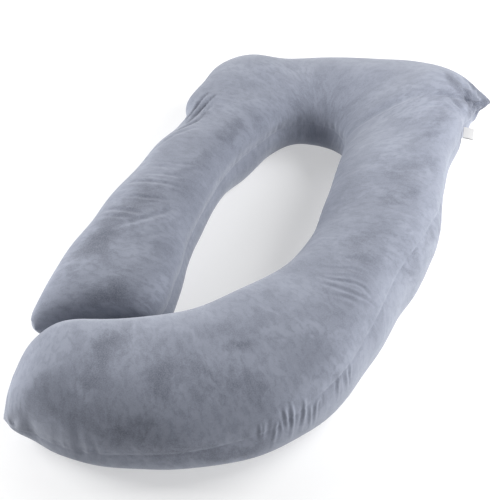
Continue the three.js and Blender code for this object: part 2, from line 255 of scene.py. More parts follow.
NAP_AND_PAINTED_SHADING_PATCHES = (
    # the left leg
    NapAndPaintedShadingPatch(((5.88, 87), (5, 78), (3.8, 72)), 46, 0.7),
    NapAndPaintedShadingPatch(((3.8, 72), (2.8, 60)), 38, 0.5),
    NapAndPaintedShadingPatch(((2.72, 106), (1.48, 97)), 36, 0.4),
    NapAndPaintedShadingPatch(((1.32, 111), (0.8, 70)), 30, 0.3),
    NapAndPaintedShadingPatch(((7.76, 115), (7, 107)), 26, 0.4),
    NapAndPaintedShadingPatch(((8.6, 118), (9.6, 122)), 30, 0.4),
    NapAndPaintedShadingPatch(((5.16, 115), (3.6, 105)), 30, -0.7),
    NapAndPaintedShadingPatch(((7.36, 52), (5.92, 61)), 24, -0.6),
    NapAndPaintedShadingPatch(((2.84, 148), (1.28, 131)), 24, -0.6),
    # painted shade along the creases outside the left bend
    NapAndPaintedShadingPatch(((9.3, 42), (10.24, 48), (11, 63)), 6, 1),
    NapAndPaintedShadingPatch(((8.9, 55), (10, 60), (10.9, 75)), 6, 1),
    NapAndPaintedShadingPatch(((8.4, 57), (9.04, 70), (9.7, 72)), 6, 0.9),
    # the head end, and its pinched corner with painted shade on its folds, which face away from the light
    NapAndPaintedShadingPatch(((13.28, 85), (15.12, 89)), 28, -0.4),
    NapAndPaintedShadingPatch(((20.88, 63), (22.44, 51), (24.32, 22)), 34, 1.3),
    NapAndPaintedShadingPatch(((20.4, 30), (22, 24), (23.2, 12)), 26, 1.2),
    NapAndPaintedShadingPatch(((21.9, 12), (22.84, 12), (24.12, 5)), 9, 1.6),
    NapAndPaintedShadingPatch(((22.2, 80), (25.84, 30)), 18, 0.6),
    NapAndPaintedShadingPatch(((20.56, 92), (24.88, 100)), 34, -0.5),
    NapAndPaintedShadingPatch(((25.2, 78), (26.6, 84)), 26, -0.6),
    # the right leg
    NapAndPaintedShadingPatch(((26.52, 56), (27.96, 62)), 26, 0.5),
    NapAndPaintedShadingPatch(((27.92, 86), (29.52, 97)), 24, -0.4),
    NapAndPaintedShadingPatch(((29.08, 49), (29.88, 86)), 32, 0.5),
    NapAndPaintedShadingPatch(((30.52, 51), (31.16, 86)), 24, 0.5),
    NapAndPaintedShadingPatch(((31.96, 50), (32.76, 93)), 30, 0.45),
    NapAndPaintedShadingPatch(((32.92, 45), (33.52, 58)), 20, 0.4),
    NapAndPaintedShadingPatch(((30.2, 352), (31.6, 351), (32.8, 350)), 34, 0.4),
    NapAndPaintedShadingPatch(((31.8, 36), (32.96, 29)), 30, -0.6),
    # the curl, with painted light on the upper side of its end
    NapAndPaintedShadingPatch(((37, 88), (36.04, 57)), 24, -0.6),
    NapAndPaintedShadingPatch(((36.04, 11), (36.88, 14)), 28, -0.5),
    NapAndPaintedShadingPatch(((38.08, 89), (37.64, 85)), 14, 0.5),
    NapAndPaintedShadingPatch(((40.8, 92), (39.6, 74), (38.2, 62)), 70, 0.35),
    NapAndPaintedShadingPatch(((39.8, 78), (40, 64)), 26, 0.3),
    NapAndPaintedShadingPatch(((42, 68), (41.68, 86), (41.24, 105)), 26, 0.45),
    NapAndPaintedShadingPatch(((41.76, 100), (41.28, 111), (40.68, 120)), 32, 0.3),
    NapAndPaintedShadingPatch(((43.2, 40), (41.68, 38), (40.16, 29)), 40, 0.3),
    NapAndPaintedShadingPatch(((41.12, 13), (40.4, 6)), 34, 0.5),
    NapAndPaintedShadingPatch(((39.84, 359), (38.64, 349)), 40, 0.5),
    NapAndPaintedShadingPatch(((44.9, 50), (44.08, 78), (43.24, 97)), 34, -1.1),
)


@dataclass(frozen=True)
class Gather:
    """A stretch of seam where the cloth is gathered, and how strongly."""

    start: float
    stop: float
    strength: float


OUTER_GATHERS = (
    Gather(0, 3, 0.9),
    Gather(3, 9, 0.35),
    Gather(9, 12, 0.9),
    Gather(12, 19, 0.5),
    Gather(19, 27.5, 0.9),
    Gather(27.5, 31, 0.4),
    Gather(31, 35.6, 0.2),
    Gather(35.6, 38.4, 0.15),
    Gather(38.4, 41.5, 0.6),
    Gather(41.5, 46, 0.9),
)
INNER_GATHERS = (
    Gather(0, 9, 0.5),
    Gather(9, 30, 0.9),
    Gather(30, 42, 0.7),
    Gather(42, 46, 0.9),
)


@dataclass(frozen=True)
class GatherStyle:
    """How uneven the gathers along a seam are, each pair the least and the most.

    Steps, widths and depths are in millimetres, lengths in degrees, leans in sections.
    """

    step: tuple[float, float] = (15, 34)
    strength: tuple[float, float] = (0.4, 1.25)
    lean: tuple[float, float] = (-0.07, 0.07)
    length: tuple[float, float] = (9, 24)
    width: tuple[float, float] = (4.5, 7.5)
    top_depth: float = 2.6
    belly_depth: float = 1.0
    tightness: float = 0.25
    from_seam: float = 1.5


@dataclass(frozen=True)
class Wrinkled:
    """A stretch of creased cloth, between two sections and two angles, with its wrinkles.

    How many there are, how deep in millimetres, and how many degrees each reaches.
    """

    first: float
    last: float
    low: float
    high: float
    count: int
    depth: float
    reach: float


WRINKLED = (
    Wrinkled(4.3, 7.1, 62, 112, 22, 0.9, 24),
    Wrinkled(28.9, 31.6, 45, 92, 26, 0.8, 14),
    Wrinkled(31.6, 33.6, 30, 80, 10, 0.7, 12),
    Wrinkled(9, 12, 80, 120, 6, 0.8, 16),
    Wrinkled(25, 28, 40, 80, 8, 1, 14),
    Wrinkled(36, 41, 40, 110, 8, 0.6, 18),
)


@dataclass(frozen=True)
class Swell:
    """Soft waves of the filling, by their length and height in millimetres."""

    length: float
    height: float


SWELLS = (Swell(330, 2.6), Swell(240, 2.2), Swell(180, 1.6), Swell(130, 1.2), Swell(95, 0.8))
WAVES_A_SWELL = 4


@dataclass(frozen=True)
class Stretch:
    """A stretch of the pillow that starts at a section, and the step between its rings in
    millimetres, finer where there are narrow creases.
    """

    start: float
    step: float


STRETCHES = (
    Stretch(0, 11),
    Stretch(4.2, 5),
    Stretch(7.3, 9),
    Stretch(8.3, 3.8),
    Stretch(11.8, 11),
    Stretch(19.4, 3.8),
    Stretch(26.6, 9),
    Stretch(33.5, 4),
    Stretch(35.7, 2.5),
    Stretch(38.6, 8),
    Stretch(41.4, 6),
)


@dataclass(frozen=True)
class Wall:
    """Points of the wall before its seams are drawn in.

    Where each is in plan, the height of its widest line, how far across the section it lies
    from -1 inside to 1 outside, how full the pillow is there, and how far above the widest
    line it is.
    """

    plan: np.ndarray
    side: np.ndarray
    across: np.ndarray
    full: np.ndarray
    rise: np.ndarray


@dataclass
class FilledForm:
    """The surface of the filled pillow, in millimetres until it is handed out in metres.

    The angle runs from the outer seam over the top to the inner seam and back underneath.
    A rooted crease starts with the root_depth share of its depth and opens over the root_share
    of its length. A free one leaves off the blunt_end share of a half wave at either end. The
    banks beside a crease rise by a share of its depth.
    """

    middle: tuple[float, float] = (54.3, 15.4)
    inner_side: float = 98.0
    inner_tuck: float = 8.0
    full_height: float = 200.0
    top_fullness: float = 2.35
    belly_fullness: float = 2.6
    belly_spread: float = 0.14
    tuck_height: float = 26.0
    seam_thickness: float = 3.0
    left_end: float = 2.6
    curl_end: float = 3.2
    root_share: float = 0.18
    root_depth: float = 0.3
    blunt_end: float = 0.06
    fading: float = 0.8
    banks: float = 0.3
    seed: int = 11
    columns: dict[str, np.ndarray] = field(init=False)

    def __post_init__(self) -> None:
        """Reads the sections into one array for each column."""
        names = Section.__dataclass_fields__
        self.columns = {n: np.array([getattr(s, n) for s in SECTIONS], float) for n in names}

    def along(self, name: str, section: np.ndarray) -> np.ndarray:
        """Reads one column smoothly between the sections.

        Args:
            name: the column.
            section: section numbers, whole or between.

        Returns:
            The column's value at each.
        """
        values = self.columns[name]
        before, after = 2 * values[0] - values[1], 2 * values[-1] - values[-2]
        points = np.concatenate([[before], values, [after]])
        section = np.clip(section, 0, LAST)
        low = np.minimum(np.floor(section).astype(int), LAST - 1)
        t = section - low
        a, b, c, d = (points[low + step] for step in range(4))
        into, out = (c - a) / 2, (d - b) / 2
        cube, square = t**3, t**2
        start = (2 * cube - 3 * square + 1) * b + (cube - 2 * square + t) * into
        return start + (-2 * cube + 3 * square) * c + (cube - square) * out

    def filled(self, section: np.ndarray) -> np.ndarray:
        """How full the pillow is: 1 along it, and 0 at its two ends."""
        left = 1 - np.clip(section / self.left_end, 0, 1)
        curl = 1 - np.clip((LAST - section) / self.curl_end, 0, 1)
        return np.sqrt(1 - np.maximum(left, curl) ** 2)

    def lines(self, section: np.ndarray) -> tuple[np.ndarray, np.ndarray]:
        """The widest lines in plan, inside and outside."""
        inner = np.stack([self.along("in_x", section), self.along("in_y", section)], -1)
        outer = np.stack([self.along("out_x", section), self.along("out_y", section)], -1)
        return inner, outer

    def wall(self, section: np.ndarray, degrees: np.ndarray) -> Wall:
        """The wall of the sections before their seams are drawn in.

        Args:
            section: section numbers.
            degrees: angles up from the widest line, of the same shape.

        Returns:
            The points of the wall.
        """
        turn = np.radians(degrees)
        above = np.sin(turn) >= 0
        power = 2 / np.where(above, self.top_fullness, self.belly_fullness)
        across = np.sign(np.cos(turn)) * np.abs(np.cos(turn)) ** power
        up = np.abs(np.sin(turn)) ** power
        share = (1 + across) / 2
        inner, outer = self.lines(section)
        plan = inner + (outer - inner) * share[..., None]
        side = self.inner_side * (1 - share) + self.along("side", section) * share
        thinned = 1 - self.along("pinch", section) * np.clip(across, 0, 1) ** 2
        full = np.maximum(self.filled(section), self.seam_thickness / self.full_height) * thinned
        crown = self.along("crown", section)
        rise = np.where(above, crown - side, -side * (1 + self.belly_spread)) * up * full
        return Wall(plan - np.array(self.middle), side, across, full, rise)

    def smooth(self, section: np.ndarray, degrees: np.ndarray) -> np.ndarray:
        """Points of the form without its creases.

        Args:
            section: section numbers.
            degrees: angles round the section from its outer seam, of the same shape.

        Returns:
            Points in millimetres, with one more axis.
        """
        section, degrees = np.broadcast_arrays(np.asarray(section, float), np.asarray(degrees, float))
        outside = np.maximum(0, np.cos(np.radians(degrees)))
        lift = self.along("lift", section)
        here = self.wall(section, degrees + lift * outside)
        seam = self.wall(section, np.where(outside > 0, lift, 180.0))
        tuck = np.where(outside > 0, self.along("tuck", section), self.inner_tuck)
        drawn = tuck * here.full * np.exp(-(((here.rise - seam.rise) / self.tuck_height) ** 2))
        inner, outer = self.lines(section)
        inward = inner - outer
        inward /= np.linalg.norm(inward, axis=-1, keepdims=True)
        plan = here.plan + inward * (here.across * drawn)[..., None]
        return np.concatenate([plan, np.maximum(0, here.side + here.rise)[..., None]], -1)

    def thickness(self, section: np.ndarray, degrees: np.ndarray) -> np.ndarray:
        """How far the filling reaches straight up and down at each point, in millimetres."""
        turned = degrees + self.along("lift", section) * np.maximum(0, np.cos(np.radians(degrees)))
        return np.abs(self.wall(section, turned).rise - self.wall(section, -turned).rise)

    def inward(self, section: np.ndarray, degrees: np.ndarray) -> np.ndarray:
        """The direction into the filling at each point, of length 1."""
        along = self.smooth(section + 0.04, degrees) - self.smooth(section - 0.04, degrees)
        around = self.smooth(section, degrees + 0.8) - self.smooth(section, degrees - 0.8)
        across = np.cross(along, around)
        length = np.linalg.norm(across, axis=-1, keepdims=True)
        return across / np.maximum(length, 1e-9)

    def soft_line(self, places: tuple[Place, ...], steps: int = 11) -> np.ndarray:
        """The soft line through a few places, laid on the smooth form."""
        stops = np.array(places, float)
        stops[:, 1] = np.degrees(np.unwrap(np.radians(stops[:, 1])))
        known = np.linspace(0, 1, len(stops))
        t = np.linspace(0, 1, steps)
        section = np.interp(t, known, stops[:, 0])
        angle = np.interp(t, known, stops[:, 1])
        if len(stops) > 2:
            for _ in range(2):
                section[1:-1] = (section[:-2] + 2 * section[1:-1] + section[2:]) / 4
                angle[1:-1] = (angle[:-2] + 2 * angle[1:-1] + angle[2:]) / 4
        return self.smooth(section, angle % 360)

    def beside(
        self, points: np.ndarray, places: tuple[Place, ...], reach: float
    ) -> tuple[np.ndarray, np.ndarray, np.ndarray]:
        """Finds the points near a line.

        Args:
            points: points of the smooth form, one a row.
            places: the places that the line runs through.
            reach: how far from it points are looked for.

        Returns:
            The points' numbers, how far each is from the line, and how far along it, 0 to 1.
        """
        line = self.soft_line(places)
        near = np.all((points > line.min(axis=0) - reach) & (points < line.max(axis=0) + reach), axis=1)
        chosen = np.flatnonzero(near)
        spots = points[chosen]
        away = np.full(len(chosen), np.inf)
        place = np.zeros(len(chosen))
        pieces = len(line) - 1
        for index in range(pieces):
            start, run = line[index], line[index + 1] - line[index]
            t = np.clip((spots - start) @ run / max(run @ run, 1e-9), 0, 1)
            gap = np.linalg.norm(spots - start - t[:, None] * run, axis=1)
            closer = gap < away
            away[closer] = gap[closer]
            place[closer] = (index + t[closer]) / pieces
        return chosen, away, place

    def press(self, points: np.ndarray, depth: np.ndarray, fold: Fold) -> None:
        """Adds one fold's depth to the points near it.

        Args:
            points: points of the smooth form, one a row.
            depth: how far each is pushed in so far, changed in place.
            fold: the fold.
        """
        chosen, away, place = self.beside(points, fold.places, 4 * fold.width)
        if fold.kind is ROOTED:
            begun = np.clip(place / self.root_share, 0, 1)
            opened = self.root_depth + (1 - self.root_depth) * begun**2 * (3 - 2 * begun)
            taper = opened * (1 - place) ** self.fading
        else:
            taper = np.sin(np.pi * (self.blunt_end + (1 - 2 * self.blunt_end) * place)) ** self.fading
        trough = np.exp(-((away / fold.width) ** 2))
        banks = np.exp(-(((away - 2 * fold.width) / fold.width) ** 2))
        depth[chosen] += fold.depth * taper * (trough - self.banks * banks)

    def stuffing(self, points: np.ndarray) -> np.ndarray:
        """Soft lumps of the filling, in millimetres, from a few crossing waves."""
        draw = np.random.default_rng(self.seed)
        lumps = np.zeros(len(points))
        for swell in SWELLS:
            for _ in range(WAVES_A_SWELL):
                way = draw.normal(size=3)
                way *= 2 * np.pi / swell.length / np.linalg.norm(way)
                lumps += swell.height / 2 * np.sin(points @ way + draw.uniform(0, 2 * np.pi))
        return lumps


def gather_profile(gathers: tuple[Gather, ...]) -> tuple[list[float], list[float]]:
    """The middles of the stretches and their strengths, to read between."""
    return [(g.start + g.stop) / 2 for g in gathers], [g.strength for g in gathers]


def gather_folds(form: FilledForm, style: GatherStyle) -> list[Fold]:
    """Makes the small puckers that start at the side seam, all the way round.

    Args:
        form: the pillow's form, which gives the length of its seam.
        style: how uneven they are.

    Returns:
        Folds on both panels, at uneven steps, stronger where the seam is gathered.
    """
    draw = np.random.default_rng(form.seed + 1)
    folds: list[Fold] = []
    for gathers, seam_angle, side in ((OUTER_GATHERS, 0.0, 1), (INNER_GATHERS, 180.0, -1)):
        numbers = np.linspace(0.15, LAST - 0.15, 2400)
        seam = form.smooth(numbers, np.full(len(numbers), seam_angle))
        walked = np.concatenate([[0], np.cumsum(np.linalg.norm(np.diff(seam, axis=0), axis=1))])
        spot = 10.0
        while spot < walked[-1]:
            section = float(np.interp(spot, walked, numbers))
            strength = float(np.interp(section, *gather_profile(gathers)))
            spot += draw.uniform(*style.step) / (1 + style.tightness * strength)
            scale = strength * draw.uniform(*style.strength)
            lean = draw.uniform(*style.lean)
            for panel in (1, -1):
                length = draw.uniform(*style.length) * (0.7 + 0.3 * strength)
                turn = seam_angle + side * panel * length
                depth = scale * (style.top_depth if panel > 0 else style.belly_depth)
                width = draw.uniform(*style.width)
                start = seam_angle + side * panel * style.from_seam
                folds.append(Fold(((section, start), (section + lean, turn)), depth, width, ROOTED))
    return folds


def wrinkle_folds(form: FilledForm) -> list[Fold]:
    """Makes the fine surface wrinkles of the two legs, short and a little bowed.

    Args:
        form: the pillow's form, for its seed.

    Returns:
        Folds scattered over the stretches of cloth that are creased.
    """
    draw = np.random.default_rng(form.seed + 2)
    folds: list[Fold] = []
    most_lean, sway = 0.28, 0.06
    for cloth in WRINKLED:
        for _ in range(cloth.count):
            section = draw.uniform(cloth.first, cloth.last)
            angle = draw.uniform(cloth.low, cloth.high)
            lean = draw.uniform(-most_lean, most_lean)
            turn = angle + draw.uniform(0.5, 1.0) * cloth.reach
            bent = (section + lean / 2 + draw.uniform(-sway, sway), (angle + turn) / 2)
            deep = cloth.depth * draw.uniform(0.6, 1.3)
            width = draw.uniform(3.4, 5.0)
            folds.append(Fold(((section, angle), bent, (section + lean, turn)), deep, width))
    return folds


@dataclass
class PlushPillow:
    """The filled pillow: two cloth panels sewn together all round and stuffed.

    The rings and spokes of its mesh, then the sizes of its relief in millimetres. Where the
    filling is thin, a crease takes no more than the squeeze share of it, and a ridge adds no
    more than the bulge share.
    """

    form: FilledForm
    rings: int = 640
    end_rings: int = 24
    top_spokes: int = 100
    belly_spokes: int = 44
    valley: float = 1.2
    valley_width: float = 4.0
    deepest: float = 13.0
    highest: float = 9.0
    squeeze: float = 0.35
    bulge: float = 0.7
    lips_open: float = 0.03
    fill: float = 0.85

    def ring_sections(self) -> np.ndarray:
        """Section numbers of the rings, closer at the two ends and where the seam is gathered."""
        start, stop = self.form.left_end, LAST - self.form.curl_end
        fine = np.linspace(start, stop, 6000)
        middle = (fine[1:] + fine[:-1]) / 2
        top = self.form.smooth(fine, np.full(len(fine), 90.0))
        outer = self.form.smooth(fine, np.zeros(len(fine)))
        step = 0.3 * np.linalg.norm(np.diff(top, axis=0), axis=1)
        step = step + 0.7 * np.linalg.norm(np.diff(outer, axis=0), axis=1)
        starts = [stretch.start for stretch in STRETCHES]
        wanted = np.array([stretch.step for stretch in STRETCHES])
        wanted = wanted[np.searchsorted(starts, middle, side="right") - 1]
        wanted = np.convolve(np.pad(wanted, 40, mode="edge"), np.full(81, 1 / 81), mode="valid")
        walked = np.concatenate([[0], np.cumsum(step / wanted)])
        log.info("pillow: rings %.2f of the wanted step apart", walked[-1] / self.rings)
        inside = np.interp(np.linspace(0, walked[-1], self.rings), walked, fine)
        quarter = 1 - np.cos(np.linspace(0, np.pi / 2, self.end_rings, endpoint=False))
        left = quarter * self.form.left_end
        curl = LAST - quarter[::-1] * self.form.curl_end
        return np.concatenate([left, inside, curl])

    def spoke_angles(self) -> np.ndarray:
        """Angles of the spokes: close on the top, closer at the seams and wide underneath."""
        halves = []
        typical_section, seam_reach = 32.0, 9.0
        top, belly = (0, 180, self.top_spokes, 1.6), (180, 360, self.belly_spokes, 5.0)
        for start, stop, count, closer in (top, belly):
            angles = np.linspace(start, stop, 3601)
            points = self.form.smooth(np.full(len(angles), typical_section), angles)
            step = np.linalg.norm(np.diff(points, axis=0), axis=1)
            centre = (angles[1:] + angles[:-1]) / 2
            to_seam = np.minimum(centre - start, stop - centre)
            weight = step * (1 + closer * np.exp(-((to_seam / seam_reach) ** 2))) + 0.0006
            walked = np.concatenate([[0], np.cumsum(weight)])
            halves.append(np.interp(np.linspace(0, walked[-1], count, endpoint=False), walked, angles))
        return np.concatenate(halves)

    def nap(self) -> np.ndarray:
        """How dark the nap lies at each point, by ring and spoke, with painted shade and painted light
        from some patches; below zero it is lighter.
        """
        sections, angles = np.meshgrid(self.ring_sections(), self.spoke_angles(), indexing="ij")
        base = self.form.smooth(sections.ravel(), angles.ravel())
        darker = np.zeros(len(base))
        for patch in NAP_AND_PAINTED_SHADING_PATCHES:
            chosen, away, _ = self.form.beside(base, patch.places, 2.4 * patch.reach)
            darker[chosen] += patch.share * np.exp(-((away / patch.reach) ** 2))
        return darker.reshape(sections.shape)

    def points(self) -> np.ndarray:
        """The creased surface on the rings and spokes, in metres."""
        sections, angles = np.meshgrid(self.ring_sections(), self.spoke_angles(), indexing="ij")
        flat_sections, flat_angles = sections.ravel(), angles.ravel()
        base = self.form.smooth(flat_sections, flat_angles)
        inward = self.form.inward(flat_sections, flat_angles)
        depth = np.zeros(len(base))
        folds = [*BEND_FOLDS, *CORNER_FOLDS, *KNEE_FOLDS, *PUCKER_FOLDS, *END_FOLDS, *LEG_WRINKLES]
        folds += gather_folds(self.form, GatherStyle()) + wrinkle_folds(self.form)
        for fold in folds:
            self.form.press(base, depth, fold)
        log.info("pillow: %d folds pressed into %d points", len(folds), len(base))
        full = self.form.filled(flat_sections)
        depth = np.clip(depth, -self.highest, self.deepest) * np.sqrt(full)
        room = self.form.thickness(flat_sections, flat_angles) / np.maximum(np.abs(inward[:, 2]), 0.05)
        depth = np.clip(depth, -self.bulge * room, self.squeeze * room)
        outer = np.clip(np.cos(np.radians(flat_angles)), 0, 1)
        plump = 1 - np.clip(self.form.along("pinch", flat_sections), 0, 1) * outer**2
        depth += self.form.stuffing(base) * full * plump
        for seam in (0.0, 180.0):
            line = self.form.smooth(flat_sections, np.full(len(base), seam))
            beside = np.linalg.norm(base - line, axis=1)
            depth += self.valley * np.exp(-((beside / self.valley_width) ** 2)) * np.sqrt(full) * plump
        resting = base[:, 2] <= 0
        depth[resting] = 0
        creased = base + inward * depth[:, None]
        creased[:, 2] = np.maximum(creased[:, 2], 0)
        return creased.reshape(*sections.shape, 3) * MM

    def closed(self, ring: np.ndarray) -> np.ndarray:
        """Presses an end ring onto the middle line between its two lips, all but closed.

        Args:
            ring: the ring's points, from the outer seam over the top and back below.

        Returns:
            The pressed ring.
        """
        reach = ring[self.top_spokes] - ring[0]
        share = (ring - ring[0]) @ reach / (reach @ reach)
        upper = np.arange(self.top_spokes + 1)
        lower = np.append(0, np.arange(len(ring) - 1, self.top_spokes - 1, -1))
        middle = np.zeros_like(ring)
        for lip in (upper, lower):
            walked = np.maximum.accumulate(share[lip])
            for axis in range(3):
                middle[:, axis] += np.interp(share, walked, ring[lip, axis]) / 2
        return middle + self.lips_open * (ring - middle)

    def cloth_map(self, grid: np.ndarray) -> np.ndarray:
        """Where each point lies on the flat cloth, in metres along and around the pillow.

        Args:
            grid: the creased surface, by ring and spoke.

        Returns:
            The places by ring and spoke, with the first spoke again at the end.
        """
        steps = np.linalg.norm(np.diff(grid, axis=0), axis=-1)
        along = np.concatenate([[0], np.cumsum(steps[:, : self.top_spokes].mean(axis=1))])
        closed = np.concatenate([grid, grid[:, :1]], axis=1)
        around = np.cumsum(np.linalg.norm(np.diff(closed, axis=1), axis=-1), axis=1)
        around = np.concatenate([np.zeros((len(grid), 1)), around], axis=1)
        return np.stack([np.broadcast_to(along[:, None], around.shape), around], -1)

    def build(self) -> bpy.types.Object:
        """Builds the pillow's mesh.

        Returns:
            The closed mesh, with its faces pointing out.
        """
        grid = self.points()
        grid = np.concatenate([[self.closed(grid[0])], grid, [self.closed(grid[-1])]])
        # crushed nap with painted shade and painted light, by ring and spoke
        nap = self.nap()
        nap = np.concatenate([nap[:1], nap, nap[-1:]])
        rings, spokes = grid.shape[:2]
        numbers = np.arange(rings * spokes).reshape(rings, spokes)
        following = np.roll(numbers, -1, axis=1)
        quads = np.stack([numbers[:-1], following[:-1], following[1:], numbers[1:]], -1).reshape(-1, 4)
        vertices = grid.reshape(-1, 3).tolist()
        faces = quads.tolist()
        cloth = self.cloth_map(grid)
        corners = [cloth[:-1, :-1], cloth[:-1, 1:], cloth[1:, 1:], cloth[1:, :-1]]
        places = [np.stack(corners, 2).reshape(-1, 2)]
        for ring, turned in ((0, False), (rings - 1, True)):
            step = -1 if turned else 1
            faces.append(numbers[ring][::step].tolist())
            places.append(cloth[ring, :-1][::step])
        mesh = bpy.data.meshes.new("plush_pillow")
        mesh.from_pydata(vertices, [], faces)
        layer = mesh.uv_layers.new(name="cloth")
        layer.uv.foreach_set("vector", np.concatenate(places).ravel())
        # the nap attribute carries the patches' crushed nap together with their painted shade and painted
        # light
        mesh.attributes.new("nap", "FLOAT", "POINT").data.foreach_set("value", nap.ravel())
        mesh.validate()
        mesh.shade_smooth()
        piece = bpy.data.objects.new("plush_pillow", mesh)
        bpy.context.collection.objects.link(piece)
        log.info("pillow: %d rings of %d points", rings, spokes)
        return piece

    def dress(self, piece: bpy.types.Object, finish: "PlushFinish") -> None:
        """Args:
            piece: the built mesh.
            finish: the cloth's finish.
        """
        piece.data.materials.append(finish.material())
        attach(piece, "root")
        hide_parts("pillow")


@dataclass
class CareLabel:
    """The blank label: one strip folded in half, its two ends sewn into the side seam."""

    form: FilledForm
    first: float = 26.05
    last: float = 26.95
    reach: float = 27.0
    layer: float = 0.5
    gap: float = 1.7
    droop: float = 3.0
    clearance: float = 1.7
    ripple: float = 0.5
    across: int = 24
    steps: int = 40

    def path(self) -> np.ndarray:
        """The strip from one sewn end to the other, as distance out and height."""
        half = (self.gap + self.layer) / 2
        bend = self.reach - half
        run = np.linspace(0, 1, self.steps)
        sag = -self.droop * run**2
        upper = np.stack([run * bend, sag + half], -1)
        turn = np.linspace(90, -90, 13)[1:-1]
        end = np.array([bend, -self.droop])
        nose = end + half * np.stack([np.cos(np.radians(turn)), np.sin(np.radians(turn))], -1)
        lower = np.stack([run[::-1] * bend, sag[::-1] - half], -1)
        return np.concatenate([upper, nose, lower])

    def build(self) -> bpy.types.Object:
        """Builds the strip as a thin closed sheet.

        Returns:
            The label's mesh.
        """
        rear, front = self.form.smooth(np.array([self.first, self.last]), np.zeros(2))
        seam = front - rear
        width = np.linalg.norm(seam)
        seam = seam / width
        outward = np.array([-seam[1], seam[0], 0.0])
        outward /= np.linalg.norm(outward)
        upward = np.cross(seam, outward)
        path = self.path()
        vertices = []
        for station in np.linspace(0, 1, self.across):
            wave = self.ripple * math.sin(5.2 * station + 0.6) * (path[:, 0] / self.reach) ** 2
            out = path[:, 0] + self.clearance
            height = path[:, 1] + wave
            row = rear + seam * width * station + outward * out[:, None] + upward * height[:, None]
            vertices += (row * MM).tolist()
        count = len(path)
        starts = [row * count + step for row in range(self.across - 1) for step in range(count - 1)]
        faces = [[here, here + 1, here + count + 1, here + count] for here in starts]
        mesh = bpy.data.meshes.new("blank_label")
        mesh.from_pydata(vertices, [], faces)
        piece = bpy.data.objects.new("blank_label", mesh)
        bpy.context.collection.objects.link(piece)
        bpy.ops.object.select_all(action="DESELECT")
        piece.select_set(True)
        bpy.context.view_layer.objects.active = piece
        bpy.ops.object.mode_set(mode="EDIT")
        bpy.ops.mesh.select_all(action="SELECT")
        bpy.ops.mesh.normals_make_consistent(inside=False)
        bpy.ops.object.mode_set(mode="OBJECT")
        wall = piece.modifiers.new("thickness", "SOLIDIFY")
        wall.thickness = self.layer * MM
        wall.offset = 0
        bpy.ops.object.modifier_apply(modifier=wall.name)
        piece.data.shade_smooth()
        log.info("label: %.0f mm along the seam", width)
        return piece

    def dress(self, piece: bpy.types.Object, finish: "SatinFinish") -> None:
        """Args:
            piece: the built mesh.
            finish: the tape's finish.
        """
        piece.data.materials.append(finish.material())
        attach(piece, "root")
        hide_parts("care_label")


Colour = tuple[float, float, float]
Socket = bpy.types.NodeSocket


